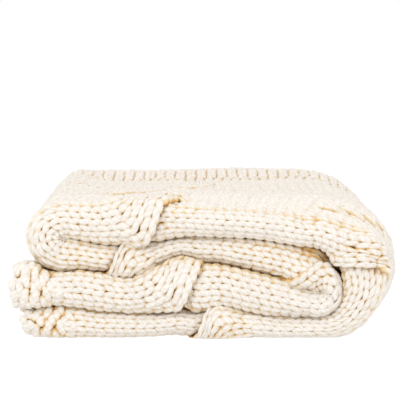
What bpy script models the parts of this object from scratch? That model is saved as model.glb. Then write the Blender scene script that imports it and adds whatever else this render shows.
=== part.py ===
"""Hand-knitted wool throw, folded three times and lying on a table.

The throw is one rectangle of knitting. It is folded in half along its length, so that two leaves lie on
each other with the fold at the front (-Y) and the knitted side borders at the back (+Y). That long double
band is then folded in half, and in half again, across its length. The four bands of the stack are called:

    D   on the table, from the throw's first end to the curl, the big turn at the right up to the top band
    C   on D, from the tuck, a small turn at the right inside the curl, to the throw's second end
    B   on C, from the roll, the turn at the left, to the tuck
    A   the top band, from the curl to the roll

The solid is a loft of sections that follow the band through D, curl, A, roll, B, tuck and C. Each section
is a long U lying on its side: two leaves with an open slot between them, joined by the rounded front fold.

Metres, +X right, +Y from the front fold to the back, +Z up. The origin is the bottom centre of the box.
"""

import math

import bmesh
import bpy

MM = 0.001

# The flat throw and its cloth
FLAT_WIDTH = 1.270
LEAF = 17.5 * MM
SLOT = 2.0 * MM
GAP = 2.4 * MM
BAND = 2 * LEAF + SLOT
PITCH = BAND + GAP

# The stack's boundaries: its underside, the gaps D/C, C/B and B/A, and its top. Along the front fold the
# bands bulge and sag between them, and these are the boundaries' heights there, in millimetres.
BOUNDARIES = ("under", "low", "middle", "high", "top")
FRONT_COLUMNS = ("x",) + BOUNDARIES
FRONT_ROWS = (
    (-210, 9, 35, 82, 112, 150),
    (-198, 8, 33, 88, 112, 151),
    (-184, 3, 33, 86, 113, 152),
    (-170, 1, 36, 75, 114, 153),
    (-154, 0, 37, 73, 113, 153),
    (-132, 1, 34, 75, 109, 152),
    (-110, 1, 30, 73, 105, 152),
    (-88, 1, 29, 68, 104, 152),
    (-66, 2, 28, 69, 105, 152),
    (-44, 4, 28, 79, 109, 151),
    (-22, 6, 32, 89, 113, 149),
    (0, 4, 29, 84, 114, 147),
    (22, 1, 34, 83, 113, 146),
    (44, 2, 31, 78, 112, 145),
    (66, 1, 26, 72, 110, 143),
    (88, 0, 23, 65, 107, 141),
    (110, 0, 22, 56, 102, 138),
    (132, 0, 22, 49, 99, 132),
    (154, 1, 30, 43, 98, 126),
)

# Deeper in, past SETTLE, the stack lies flat and evenly layered.
FLAT_HEIGHTS = {
    "under": 0.0,
    "low": PITCH - GAP / 2,
    "middle": 2 * PITCH - GAP / 2,
    "high": 3 * PITCH - GAP / 2,
    "top": 4 * PITCH - GAP,
}
SETTLE = 130 * MM
SLOW_RIPPLE = 1.4 * MM
QUICK_RIPPLE = 0.7 * MM

# The turns' faces in millimetres, at the front and then deep in the stack. Each is two quarter ellipses
# that meet at the tip. The gap inside the curl is the one outside the tuck.
TURN_COLUMNS = ("low_x", "tip_x", "tip_z", "high_x")
TURNS = {
    "curl_outside": ((142, 210, 81, 116), (138, 226, 78, 132)),
    "curl_inside": ((132, 160, 54, 122), (146, 189, 78, 144)),
    "tuck_outside": ((132, 157.6, 54, 122), (146, 186.6, 78, 144)),
    "tuck_inside": ((132, 142, 46, 132), (146, 150, 78, 146)),
    "roll_outside": ((-150, -194, 115, -150), (-152, -191, 117, -152)),
    "roll_inside": ((-148, -154, 113, -148), (-150, -154, 117, -150)),
}

# Places of the sections: the same x through all four bands, then shares of the way from each end of the
# throw to the first of those, and steps round each turn
MIDDLE_LEFT = -144 * MM
MIDDLE_RIGHT = 112 * MM
MIDDLE_STEPS = 12
END_SHARES = (0.0, 0.25, 0.6)
TURN_STEPS = {"curl": 11, "roll": 9, "tuck": 11}

# x of the throw's two ends, at the front and deep in the stack, in millimetres
ENDS = {"D": (-197, -184), "C": (-209, -194)}

# How far each stretch of the front fold stands behind the front plane, in millimetres
SET_BACK = {"D": 0, "curl": 3, "A": 4, "roll": 4, "B": 14, "tuck": 10, "C": -4}

# The front fold and the slot behind it. DEPTHS are the rows of points behind the front plane.
FOLD_ROUND = 22 * MM
FOLD_STEPS = 6
FOLD_TO_SLOT = 17.5 * MM
SLOT_TAPER = 14 * MM
DEPTHS = tuple(depth * MM for depth in (56, 92, 135, 220, 340, 490))

# The side borders at the back
EDGE_ROUND = 6 * MM
EDGE_UNEVEN = 6 * MM

WOOL_COLOUR = (0.93, 0.88, 0.79, 1.0)
WOOL_ROUGHNESS = 0.95


def mix(first, second, share):
    return first + (second - first) * share


def smooth(share):
    share = min(max(share, 0.0), 1.0)
    return share * share * (3 - 2 * share)


def front_height(boundary, x):
    """A boundary's height along the front fold, on a smooth curve through the rows."""
    rows = [dict(zip(FRONT_COLUMNS, row)) for row in FRONT_ROWS]
    last = len(rows) - 1
    x = min(max(x / MM, rows[0]["x"]), rows[last]["x"])
    i = next(row for row in range(last) if x <= rows[row + 1]["x"])

    def slope(row):
        before, after = rows[max(row - 1, 0)], rows[min(row + 1, last)]
        return (after[boundary] - before[boundary]) / (after["x"] - before["x"])

    width = rows[i + 1]["x"] - rows[i]["x"]
    t = (x - rows[i]["x"]) / width
    between = mix(rows[i][boundary], rows[i + 1][boundary], smooth(t))
    leaving = (t**3 - 2 * t**2 + t) * slope(i) * width
    arriving = (t**3 - t**2) * slope(i + 1) * width
    return max(between + leaving + arriving, 0.0) * MM


def ripple(boundary, x, y):
    """How the flat stack's layers rise and fall a little. The underside lies flat on the table."""
    if boundary == "under":
        return 0.0
    slow = math.sin(math.tau * (x / 0.41 + y / 0.57))
    quick = math.sin(math.tau * (x / 0.17 - y / 0.23 + 0.2 * BOUNDARIES.index(boundary)))
    return SLOW_RIPPLE * slow + QUICK_RIPPLE * quick


def height(boundary, x, y):
    flat = FLAT_HEIGHTS[boundary] + ripple(boundary, x, y)
    return mix(front_height(boundary, x), flat, smooth(y / SETTLE))


def turn_sizes(name, y):
    """A turn face's columns at a depth y, in metres."""
    front, deep = TURNS[name]
    sizes = [mix(a, b, smooth(y / SETTLE)) * MM for a, b in zip(front, deep)]
    return dict(zip(TURN_COLUMNS, sizes))


def point_on_turn(name, low, high, angle, y):
    """A turn's point at an angle from -90 degrees, on its lower boundary, to 90, on its upper one.

    low and high are each a boundary and the height of the band's face over it.
    """
    sizes = turn_sizes(name, y)
    x = sizes["low_x"] if angle < 0 else sizes["high_x"]
    boundary, offset = low if angle < 0 else high
    z = height(boundary, x, y) + offset
    return mix(x, sizes["tip_x"], math.cos(angle)), mix(sizes["tip_z"], z, abs(math.sin(angle)))


def turn_pair(name, share, y):
    """The band's two faces, outer first, at a share of the way round a turn."""
    half = GAP / 2
    if name == "curl":
        angle = mix(-math.pi / 2, math.pi / 2, share)
        outer = point_on_turn("curl_outside", ("under", 0), ("top", 0), angle, y)
        inner = point_on_turn("curl_inside", ("low", -half), ("high", half), angle, y)
    elif name == "roll":
        angle = mix(math.pi / 2, -math.pi / 2, share)
        outer = point_on_turn("roll_outside", ("middle", half), ("top", 0), angle, y)
        inner = point_on_turn("roll_inside", ("high", -half), ("high", half), angle, y)
    else:
        angle = mix(math.pi / 2, -math.pi / 2, share)
        outer = point_on_turn("tuck_inside", ("middle", -half), ("middle", half), angle, y)
        inner = point_on_turn("tuck_outside", ("low", half), ("high", -half), angle, y)
    return outer, inner


def flat_pair(name, x, y):
    """The band's two faces, outer first, at an x along stretch A, B, C or D."""
    half = GAP / 2
    band = "DCBA".index(name)
    lower = x, height(BOUNDARIES[band], x, y) + (0 if name == "D" else half)
    upper = x, height(BOUNDARIES[band + 1], x, y) - (0 if name == "A" else half)
    return (upper, lower) if name in "AC" else (lower, upper)


def end_x(name, y):
    return mix(*ENDS[name], smooth(y / SETTLE)) * MM


def pair_at(name, place, y):
    """The band's two faces, outer first. A place is a share of a turn, an x, or ("end", share)."""
    if name in TURN_STEPS:
        return turn_pair(name, place, y)
    if isinstance(place, tuple):
        return flat_pair(name, mix(end_x(name, y), MIDDLE_LEFT, place[1]), y)
    return flat_pair(name, place, y)


def set_back(name, share):
    """How far the front fold stands behind the front plane, eased from one stretch to the next."""
    names = list(SET_BACK)
    here = names.index(name)
    before = names[max(here - 1, 0)]
    after = names[min(here + 1, len(names) - 1)]
    if share < 0.5:
        distance = mix(mix(SET_BACK[before], SET_BACK[name], 0.5), SET_BACK[name], smooth(2 * share))
    else:
        distance = mix(SET_BACK[name], mix(SET_BACK[name], SET_BACK[after], 0.5), smooth(2 * share - 1))
    return distance * MM


def leaf_edge(along, leaf):
    """How far a leaf's side border strays from straight, at a share of the way along the band."""
    phase = 0.31 * leaf
    wave = math.sin(math.tau * (3.3 * along + phase))
    return EDGE_UNEVEN * wave * math.cos(math.tau * (1.1 * along - phase))


def point_between(name, place, across, y):
    """A point at height `across` in the band, from 1 on its outer face to -1 on its inner face."""
    (outer_x, outer_z), (inner_x, inner_z) = pair_at(name, place, y)
    share = (1 - across) / 2
    return mix(outer_x, inner_x, share), y, mix(outer_z, inner_z, share)


def slot_share(name, place, y):
    """Half the slot's height, as a share of half the band's."""
    outer, inner = pair_at(name, place, y)
    return SLOT / math.dist(outer, inner)


def section(name, place, fold, along):
    """The U of one section: a leaf edge, the outside, the other leaf edge, and the slot back to the start."""
    edge_y = fold + FLAT_WIDTH / 2
    edges, outside, slot = [], [], []
    for leaf in (1, -1):
        border = edge_y + leaf_edge(along, leaf)
        rows = DEPTHS + (border - EDGE_ROUND / 2,)
        leaf_outside = [point_between(name, place, leaf, y) for y in rows]
        leaf_slot = [point_between(name, place, leaf * slot_share(name, place, y), y) for y in rows]
        edges.append(point_between(name, place, leaf * 0.5, border))
        outside.append(leaf_outside)
        slot.append(leaf_slot)
    fold_outside, fold_slot = [], []
    for step in range(FOLD_STEPS + 1):
        angle = mix(math.pi / 2, -math.pi / 2, step / FOLD_STEPS)
        y = fold + FOLD_ROUND * (1 - math.cos(angle))
        fold_outside.append(point_between(name, place, math.sin(angle), y))
        y = fold + FOLD_TO_SLOT + SLOT_TAPER * (1 - math.cos(angle))
        across = math.sin(angle) * slot_share(name, place, y)
        fold_slot.append(point_between(name, place, across, y))
    outer_chain = outside[0][::-1] + fold_outside + outside[1]
    slot_chain = slot[0][::-1] + fold_slot + slot[1]
    return [edges[0]] + outer_chain + [edges[1]] + slot_chain[::-1]


def all_sections():
    """The sections in their order along the throw, from D's end to C's end."""
    middle = [mix(MIDDLE_LEFT, MIDDLE_RIGHT, step / MIDDLE_STEPS) for step in range(MIDDLE_STEPS + 1)]
    ends = [("end", share) for share in END_SHARES]
    places = {"D": ends + middle, "A": middle[::-1], "B": middle, "C": middle[::-1] + ends[::-1]}
    for turn, steps in TURN_STEPS.items():
        places[turn] = [step / steps for step in range(steps + 1)]
    count = sum(len(places[name]) for name in SET_BACK)
    sections = []
    for name in SET_BACK:
        for index, place in enumerate(places[name]):
            fold = set_back(name, index / (len(places[name]) - 1))
            sections.append(section(name, place, fold, len(sections) / count))
    return sections


def wool():
    material = bpy.data.materials.new("cream_wool")
    material.use_nodes = True
    shader = material.node_tree.nodes["Principled BSDF"]
    shader.inputs["Base Color"].default_value = WOOL_COLOUR
    shader.inputs["Roughness"].default_value = WOOL_ROUGHNESS
    shader.inputs["Metallic"].default_value = 0.0
    return material


def loft(name, sections):
    """One closed body through matching sections, its two ends filled between the outside and the slot."""
    body = bmesh.new()
    rings = [[body.verts.new(point) for point in ring] for ring in sections]
    corners = len(rings[0])
    for near, far in zip(rings, rings[1:]):
        for i in range(corners):
            after = (i + 1) % corners
            body.faces.new((near[i], near[after], far[after], far[i]))
    half = (corners - 2) // 2
    for ring in (rings[0], rings[-1]):
        outside, slot = ring[1 : half + 1], ring[: half + 1 : -1]
        body.faces.new((ring[0], outside[0], slot[0]))
        body.faces.new((ring[half + 1], outside[-1], slot[-1]))
        for i in range(half - 1):
            body.faces.new((outside[i], outside[i + 1], slot[i + 1], slot[i]))
    bmesh.ops.recalc_face_normals(body, faces=body.faces)
    mesh = bpy.data.meshes.new(name)
    body.to_mesh(mesh)
    body.free()
    return bpy.data.objects.new(name, mesh)


def centred(sections):
    """The same sections with the middle of their box at x = y = 0 and their underside at z = 0."""
    points = [point for ring in sections for point in ring]
    low = [min(point[axis] for point in points) for axis in range(3)]
    high = [max(point[axis] for point in points) for axis in range(3)]
    shift = (-(low[0] + high[0]) / 2, -(low[1] + high[1]) / 2, -low[2])
    return [[tuple(p + s for p, s in zip(point, shift)) for point in ring] for ring in sections]


def main():
    for old in list(bpy.data.objects):
        bpy.data.objects.remove(old, do_unlink=True)
    throw = loft("throw", centred(all_sections()))
    bpy.context.scene.collection.objects.link(throw)
    throw.data.materials.append(wool())
    throw.data.shade_smooth()
    throw.data.set_sharp_from_angle(angle=math.radians(50))


main()
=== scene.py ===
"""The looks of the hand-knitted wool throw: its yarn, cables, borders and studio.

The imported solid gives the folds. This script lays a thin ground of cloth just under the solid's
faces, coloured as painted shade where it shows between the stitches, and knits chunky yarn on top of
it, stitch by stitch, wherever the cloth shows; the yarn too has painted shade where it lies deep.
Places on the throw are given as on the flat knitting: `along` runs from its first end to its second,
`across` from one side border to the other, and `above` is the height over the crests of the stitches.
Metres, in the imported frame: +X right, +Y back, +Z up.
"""

import math

import bmesh
import bpy
import numpy as np

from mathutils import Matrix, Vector


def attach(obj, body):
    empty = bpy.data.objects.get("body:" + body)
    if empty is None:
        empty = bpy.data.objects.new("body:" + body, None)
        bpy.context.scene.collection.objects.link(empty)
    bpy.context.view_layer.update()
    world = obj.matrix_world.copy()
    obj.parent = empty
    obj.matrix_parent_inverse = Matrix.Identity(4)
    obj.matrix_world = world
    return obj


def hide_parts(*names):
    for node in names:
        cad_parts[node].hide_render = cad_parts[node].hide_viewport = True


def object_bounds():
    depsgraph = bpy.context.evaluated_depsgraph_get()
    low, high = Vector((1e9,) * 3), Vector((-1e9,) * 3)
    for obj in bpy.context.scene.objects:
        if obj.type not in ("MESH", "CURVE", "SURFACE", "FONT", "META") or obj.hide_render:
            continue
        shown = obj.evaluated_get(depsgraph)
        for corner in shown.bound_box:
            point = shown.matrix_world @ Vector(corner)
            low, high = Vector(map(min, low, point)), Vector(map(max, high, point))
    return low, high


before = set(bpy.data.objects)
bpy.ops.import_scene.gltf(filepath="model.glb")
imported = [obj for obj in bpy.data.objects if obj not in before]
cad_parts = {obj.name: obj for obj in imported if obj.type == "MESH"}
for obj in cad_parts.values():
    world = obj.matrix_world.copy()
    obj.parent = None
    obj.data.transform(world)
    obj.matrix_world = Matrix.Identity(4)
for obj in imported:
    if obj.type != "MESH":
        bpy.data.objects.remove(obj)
CAD_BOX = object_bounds()

bl_info = {
    "name": "Cable-knit throw",
    "version": (1, 0, 0),
    "blender": (4, 5, 0),
    "location": "3D View > Sidebar > Throw",
    "description": "Knits a folded cable throw over its packed solid and sets up a studio",
    "category": "Object",
}

MM = 0.001

# -------------------------------------------------------------------------------------------------
# The folded cloth, as the solid has it: two leaves that are joined by the front fold and lie in a
# stack of four bands. From the first end, the cloth is D on the floor, the curl at the right, A on
# top, the roll at the left, B under A, the tuck inside the curl, and C between D and B. Each face of
# a band lies on one of the boundaries. Heights and places in these tables are millimetres.

FLAT_WIDTH = 1.270
FLAT_LENGTH = 1.524
LEAF = 17.5 * MM
SLOT = 2.0 * MM
GAP = 2.4 * MM
BAND = 2 * LEAF + SLOT
PITCH = BAND + GAP

# The boundaries' heights along the front fold, where the bands bulge and sag
BOUNDARIES = ("under", "low", "middle", "high", "top")
FRONT_COLUMNS = ("x",) + BOUNDARIES
FRONT_ROWS = (
    (-210, 9, 35, 82, 112, 150),
    (-198, 8, 33, 88, 112, 151),
    (-184, 3, 33, 86, 113, 152),
    (-170, 1, 36, 75, 114, 153),
    (-154, 0, 37, 73, 113, 153),
    (-132, 1, 34, 75, 109, 152),
    (-110, 1, 30, 73, 105, 152),
    (-88, 1, 29, 68, 104, 152),
    (-66, 2, 28, 69, 105, 152),
    (-44, 4, 28, 79, 109, 151),
    (-22, 6, 32, 89, 113, 149),
    (0, 4, 29, 84, 114, 147),
    (22, 1, 34, 83, 113, 146),
    (44, 2, 31, 78, 112, 145),
    (66, 1, 26, 72, 110, 143),
    (88, 0, 23, 65, 107, 141),
    (110, 0, 22, 56, 102, 138),
    (132, 0, 22, 49, 99, 132),
    (154, 1, 30, 43, 98, 126),
)
FRONT = {
    name: np.array([row[column] for row in FRONT_ROWS], float) * MM
    for column, name in enumerate(FRONT_COLUMNS)
}

# Deeper in, past SETTLE, the stack lies flat, with a ripple. The waves' lengths are metres along +X
# and +Y, and each boundary's quick wave is a little ahead of the one below it.
FLAT_HEIGHTS = {
    "under": 0.0,
    "low": PITCH - GAP / 2,
    "middle": 2 * PITCH - GAP / 2,
    "high": 3 * PITCH - GAP / 2,
    "top": 4 * PITCH - GAP,
}
SETTLE = 130 * MM
SLOW_RIPPLE = 1.4 * MM
SLOW_WAVE = (0.41, 0.57)
QUICK_RIPPLE = 0.7 * MM
QUICK_WAVE = (0.17, 0.23)
WAVE_AHEAD = 0.2

# The turns' faces, at the front and then deep in the stack. Each is two quarter ellipses that meet
# at the tip.
TURN_COLUMNS = ("low_x", "tip_x", "tip_z", "high_x")
TURNS = {
    "curl_outside": ((142, 210, 81, 116), (138, 226, 78, 132)),
    "curl_inside": ((132, 160, 54, 122), (146, 189, 78, 144)),
    "tuck_outside": ((132, 157.6, 54, 122), (146, 186.6, 78, 144)),
    "tuck_inside": ((132, 142, 46, 132), (146, 150, 78, 146)),
    "roll_outside": ((-150, -194, 115, -150), (-152, -191, 117, -152)),
    "roll_inside": ((-148, -154, 113, -148), (-150, -154, 117, -150)),
}

# The bands A and B, and the even part of C and D, lie between the same two places from left to right.
# The shares are of the way from each end of the throw to the first of those.
MIDDLE_LEFT = -144 * MM
MIDDLE_RIGHT = 112 * MM
MIDDLE_STEPS = 12
END_SHARES = (0.0, 0.25, 0.6)
TURN_STEPS = {"curl": 11, "roll": 9, "tuck": 11}

# x of the throw's two ends, at the front and deep in the stack
ENDS = {"D": (-197, -184), "C": (-209, -194)}

# How far each stretch of the front fold stands behind the front plane, in the order of the stretches
SET_BACK = {"D": 0, "curl": 3, "A": 4, "roll": 4, "B": 14, "tuck": 10, "C": -4}
FOLD_ROUND = 22 * MM

# The side borders wander by EDGE_UNEVEN, in a wave whose height comes and goes along the throw.
EDGE_UNEVEN = 6 * MM
EDGE_WAVES = (3.3, 1.1)
EDGE_PHASE = 0.31

# The top sags between the front fold and the far border. The places are shares of the way back.
TOP_DIP = 9 * MM
TOP_DIP_PLACES = (0.12, 0.45, 0.80, 0.97)
TOP_DIP_SHARES = (0.0, 0.75, 1.0, 0.0)
TOP_FADE = 60 * MM

# Creases: the way each one runs, as places along the throw in metres and places from the front fold
# towards the second border in millimetres, and then its width and depth in millimetres. A negative
# depth is a ridge.
CREASES = (
    (((0.628, -20), (0.596, -27), (0.548, -29), (0.498, -23), (0.472, -23), (0.456, -25)), 14, 2.5),
    (((0.524, -26), (0.498, -23)), 12, 1.5),
    (((0.470, -23), (0.456, -25)), 12, 2.0),
    (((0.660, -74), (0.652, -60)), 12, 3.0),
    (((0.650, -38), (0.644, -16)), 12, 2.5),
    (((0.662, -73), (0.634, -77)), 12, 2.5),
    (((0.776, -74), (0.744, -66), (0.722, -67), (0.706, -48)), 14, 2.8),
    (((0.708, -52), (0.702, -40)), 12, 2.5),
    (((0.660, 3), (0.648, 9)), 10, 2.0),
    (((1.074, -30), (1.078, -24)), 12, 3.0),
    (((1.090, -16), (1.110, -6), (1.128, 2)), 22, -2.5),
    (((1.108, 24), (1.126, 27)), 18, 5.0),
    (((1.130, 27), (1.138, 27)), 19, 11.0),
    (((0.446, 1), (0.432, -11), (0.418, -17)), 11, 3.5),
    (((0.422, -17), (0.412, -13)), 10, 3.0),
    (((0.202, -15), (0.222, -11), (0.244, 5)), 12, 2.0),
)

# The solid's sections are refined this many times, with rows of points that stand closer together
# towards the front fold, and the cloth is then sampled on an even grid. Its length is measured once
# within EVEN_FRONT of the fold and once behind that, and the second measure holds alone from
# EVEN_BEHIND on. GRID_END keeps places inside the grid's last cell.
REFINE = 4
LEAF_ROWS = 46
LEAF_CROWDING = 1.5
FOLD_ROWS = 28
GRID = 4 * MM
GRID_END = 1.001
EVEN_FRONT = 45 * MM
EVEN_BEHIND = 350 * MM


def mix(first, second, share):
    return first + (second - first) * share


def smooth(share):
    share = np.clip(share, 0.0, 1.0)
    return share * share * (3 - 2 * share)


def bell(distance, width):
    """1 at no distance and 0 past the width, smooth between."""
    return smooth(1 - np.abs(distance) / width)


def unit(vectors):
    return vectors / np.linalg.norm(vectors, axis=-1, keepdims=True)


def front_height(boundary, x):
    """A boundary's height along the front fold, on a smooth curve through the rows."""
    xs, heights = FRONT["x"], FRONT[boundary]
    ahead = np.minimum(np.arange(len(xs)) + 1, len(xs) - 1)
    behind = np.maximum(np.arange(len(xs)) - 1, 0)
    slopes = (heights[ahead] - heights[behind]) / (xs[ahead] - xs[behind])
    x = np.clip(x, xs[0], xs[-1])
    i = np.clip(np.searchsorted(xs, x) - 1, 0, len(xs) - 2)
    width = xs[i + 1] - xs[i]
    t = (x - xs[i]) / width
    between = mix(heights[i], heights[i + 1], smooth(t))
    leaving = (t**3 - 2 * t**2 + t) * slopes[i] * width
    arriving = (t**3 - t**2) * slopes[i + 1] * width
    return np.maximum(between + leaving + arriving, 0.0)


def height(boundary, x, y):
    """A boundary's height anywhere in the stack."""
    ahead = WAVE_AHEAD * BOUNDARIES.index(boundary)
    slow = np.sin(math.tau * (x / SLOW_WAVE[0] + y / SLOW_WAVE[1]))
    quick = np.sin(math.tau * (x / QUICK_WAVE[0] - y / QUICK_WAVE[1] + ahead))
    ripple = SLOW_RIPPLE * slow + QUICK_RIPPLE * quick if boundary != "under" else 0.0
    return mix(front_height(boundary, x), FLAT_HEIGHTS[boundary] + ripple, smooth(y / SETTLE))


def point_on_turn(name, low, high, angle, y):
    """A point of a turn's face. Its low and high ends are each a boundary and an offset from it."""
    front, deep = TURNS[name]
    sizes = [mix(a, b, smooth(y / SETTLE)) * MM for a, b in zip(front, deep)]
    sizes = dict(zip(TURN_COLUMNS, sizes))
    x = sizes["low_x"] if angle < 0 else sizes["high_x"]
    boundary, offset = low if angle < 0 else high
    z = height(boundary, x, y) + offset
    return mix(x, sizes["tip_x"], math.cos(angle)), mix(sizes["tip_z"], z, abs(math.sin(angle)))


def turn_pair(name, share, y):
    """A turn's two faces, outer first, at a share of the way round it."""
    half = GAP / 2
    up = mix(-math.pi / 2, math.pi / 2, share)
    down = mix(math.pi / 2, -math.pi / 2, share)
    if name == "curl":
        outer = point_on_turn("curl_outside", ("under", 0), ("top", 0), up, y)
        inner = point_on_turn("curl_inside", ("low", -half), ("high", half), up, y)
    elif name == "roll":
        outer = point_on_turn("roll_outside", ("middle", half), ("top", 0), down, y)
        inner = point_on_turn("roll_inside", ("high", -half), ("high", half), down, y)
    else:
        outer = point_on_turn("tuck_inside", ("middle", -half), ("middle", half), down, y)
        inner = point_on_turn("tuck_outside", ("low", half), ("high", -half), down, y)
    return outer, inner


def flat_pair(name, x, y):
    """A flat band's two faces, outer first."""
    half = GAP / 2
    band = "DCBA".index(name)
    lower = x, height(BOUNDARIES[band], x, y) + (0 if name == "D" else half)
    upper = x, height(BOUNDARIES[band + 1], x, y) - (0 if name == "A" else half)
    return (upper, lower) if name in "AC" else (lower, upper)


def pair_at(name, share, y):
    """The band's two faces, outer first, at a share of the way along a stretch."""
    if name in TURN_STEPS:
        return turn_pair(name, share, y)
    if name in "AB":
        rightwards = share if name == "B" else 1 - share
        return flat_pair(name, mix(MIDDLE_LEFT, MIDDLE_RIGHT, rightwards), y)
    share = share if name == "D" else 1 - share
    steps = len(END_SHARES) + MIDDLE_STEPS
    step = share * steps
    if step >= len(END_SHARES):
        middle_share = (step - len(END_SHARES)) / MIDDLE_STEPS
        return flat_pair(name, mix(MIDDLE_LEFT, MIDDLE_RIGHT, middle_share), y)
    end = mix(*ENDS[name], smooth(y / SETTLE)) * MM
    reach = np.interp(step, range(len(END_SHARES) + 1), END_SHARES + (1.0,))
    return flat_pair(name, mix(end, MIDDLE_LEFT, reach), y)


def set_back(name, share):
    """How far the front fold stands back, halfway to the next stretch's distance at each end."""
    names = list(SET_BACK)
    here = names.index(name)
    before, after = names[max(here - 1, 0)], names[min(here + 1, len(names) - 1)]
    own = SET_BACK[name]
    if share < 0.5:
        distance = mix(mix(SET_BACK[before], own, 0.5), own, smooth(2 * share))
    else:
        distance = mix(own, mix(own, SET_BACK[after], 0.5), smooth(2 * share - 1))
    return distance * MM


def leaf_edge(along, leaf):
    """How far a leaf's side border stands out of line."""
    phase = EDGE_PHASE * leaf
    wave = math.sin(math.tau * (EDGE_WAVES[0] * along + phase))
    return EDGE_UNEVEN * wave * math.cos(math.tau * (EDGE_WAVES[1] * along - phase))


def section_outside(name, share, along):
    """A section's outside, from border to border round the front fold, and half its thickness."""
    fold = set_back(name, share)
    chain = []
    rows = np.linspace(0, 1, LEAF_ROWS) ** LEAF_CROWDING
    for leaf in (1, -1):
        border = fold + FLAT_WIDTH / 2 + leaf_edge(along, leaf)
        chain.append((np.full(LEAF_ROWS, float(leaf)), mix(fold + FOLD_ROUND, border, rows)))
    angles = np.linspace(math.pi / 2, -math.pi / 2, FOLD_ROWS + 1)[1:-1]
    fold_y = fold + FOLD_ROUND * (1 - np.cos(angles))
    level = np.concatenate([chain[0][0][::-1], np.sin(angles), chain[1][0]])
    y = np.concatenate([chain[0][1][::-1], fold_y, chain[1][1]])
    (outer_x, outer_z), (inner_x, inner_z) = pair_at(name, share, y)
    half = np.hypot(outer_x - inner_x, outer_z - inner_z) / 2
    share = (1 - level) / 2
    return np.stack([mix(outer_x, inner_x, share), y, mix(outer_z, inner_z, share)], axis=1), half


def all_sections():
    """Every section's outside and half thickness, and the first and last section of each stretch."""
    steps = {name: TURN_STEPS.get(name, MIDDLE_STEPS) for name in SET_BACK}
    steps["D"] = steps["C"] = MIDDLE_STEPS + len(END_SHARES)
    total = sum(steps[name] + 1 for name in SET_BACK)
    sections, stretches, before = [], {}, 0
    for name in SET_BACK:
        shares = np.linspace(0, 1, steps[name] * REFINE + 1)
        stretches[name] = (len(sections), len(sections) + len(shares) - 1)
        for share in shares:
            along = (before + share * steps[name]) / total
            sections.append(section_outside(name, share, along))
        before += steps[name] + 1
    return sections, stretches


def grid_places(length):
    """Places about a grid step apart that end at the length."""
    steps = np.arange(0, length + GRID, GRID)
    return steps * (length / steps[-1])


def read_off(wanted, reached, columns):
    """Columns of values read off at the wanted places, given how far each of their rows reaches."""
    return np.stack([np.interp(wanted, reached, column) for column in columns.T], axis=1)


def inside(along, across):
    """Places on the flat knitting, brought to its edge where they lie past it."""
    return np.clip(along, 0, FLAT_LENGTH), np.clip(across, 0, FLAT_WIDTH)


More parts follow.
